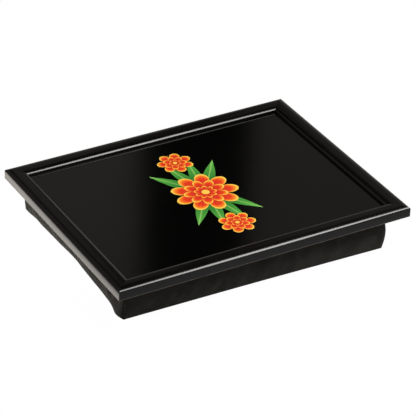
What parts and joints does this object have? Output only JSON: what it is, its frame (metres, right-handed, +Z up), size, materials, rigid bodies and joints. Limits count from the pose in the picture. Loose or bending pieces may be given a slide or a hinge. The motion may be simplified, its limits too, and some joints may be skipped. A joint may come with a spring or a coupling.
{
  "type": "lap tray",
  "caption": "Rectangular lap tray with a mitred picture-frame rim round a recessed glossy board, on a flat bead-filled fabric cushion that pulls off hook-and-loop strips.",
  "frame": {"origin": "on the floor under the middle of the frame", "axes": "+X along the tray's long side, -Y towards the person who holds it, +Z up out of the tray's surface"},
  "size_m": [0.43, 0.33, 0.0592],
  "materials": {
    "frame_lacquer": "satin",
    "laminate": "gloss",
    "fibreboard": "matte",
    "backing": "matte",
    "fixing_steel": "satin",
    "hook_tape": "matte",
    "loop_tape": "matte",
    "cover_fabric": "matte",
    "liner": "matte",
    "zip_tape": "matte",
    "zip_coil": "satin",
    "zip_metal": "satin"
  },
  "bodies": {
    "cushion": {"loop_strip_front": "loop_tape", "loop_strip_right": "loop_tape", "loop_strip_back": "loop_tape", "loop_strip_left": "loop_tape", "cover_top_panel": "cover_fabric", "cover_base_panel": "cover_fabric", "cover_front_wall": "cover_fabric", "cover_right_wall": "cover_fabric", "cover_left_wall": "cover_fabric", "cover_back_wall_upper": "cover_fabric", "cover_back_wall_lower": "cover_fabric", "zip_tab_left": "cover_fabric", "zip_tab_right": "cover_fabric", "bead_bag": "liner", "zip_tape_upper": "zip_tape", "zip_tape_lower": "zip_tape", "zip_coil_upper": "zip_coil", "zip_coil_lower": "zip_coil", "zip_stops": "zip_metal"},
    "tray": {"frame_rail_front": "frame_lacquer", "frame_rail_right": "frame_lacquer", "frame_rail_back": "frame_lacquer", "frame_rail_left": "frame_lacquer", "corner_v_nails": "fixing_steel", "laminate_sheet": "laminate", "tray_board": "fibreboard", "backing_board": "backing", "glazing_points": "fixing_steel", "hook_strip_front": "hook_tape", "hook_strip_right": "hook_tape", "hook_strip_back": "hook_tape", "hook_strip_left": "hook_tape"},
    "zip_slider": {"zip_slider": "zip_metal"},
    "zip_pull": {"zip_pull": "zip_metal"}
  },
  "joints": [
    {"name": "tray_lift", "type": "slide", "parent": "cushion", "child": "tray", "axis": [0, 0, 1], "range_m": [0, 0.06]},
    {"name": "zip_travel", "type": "slide", "parent": "cushion", "child": "zip_slider", "axis": [-1, 0, 0], "range_m": [0, 0.29]},
    {"name": "zip_pull_swing", "type": "hinge", "parent": "zip_slider", "child": "zip_pull", "pos_m": [0.14285, 0.149, 0.021], "axis": [0, 0, -1], "range_deg": [0, 175]}
  ]
}
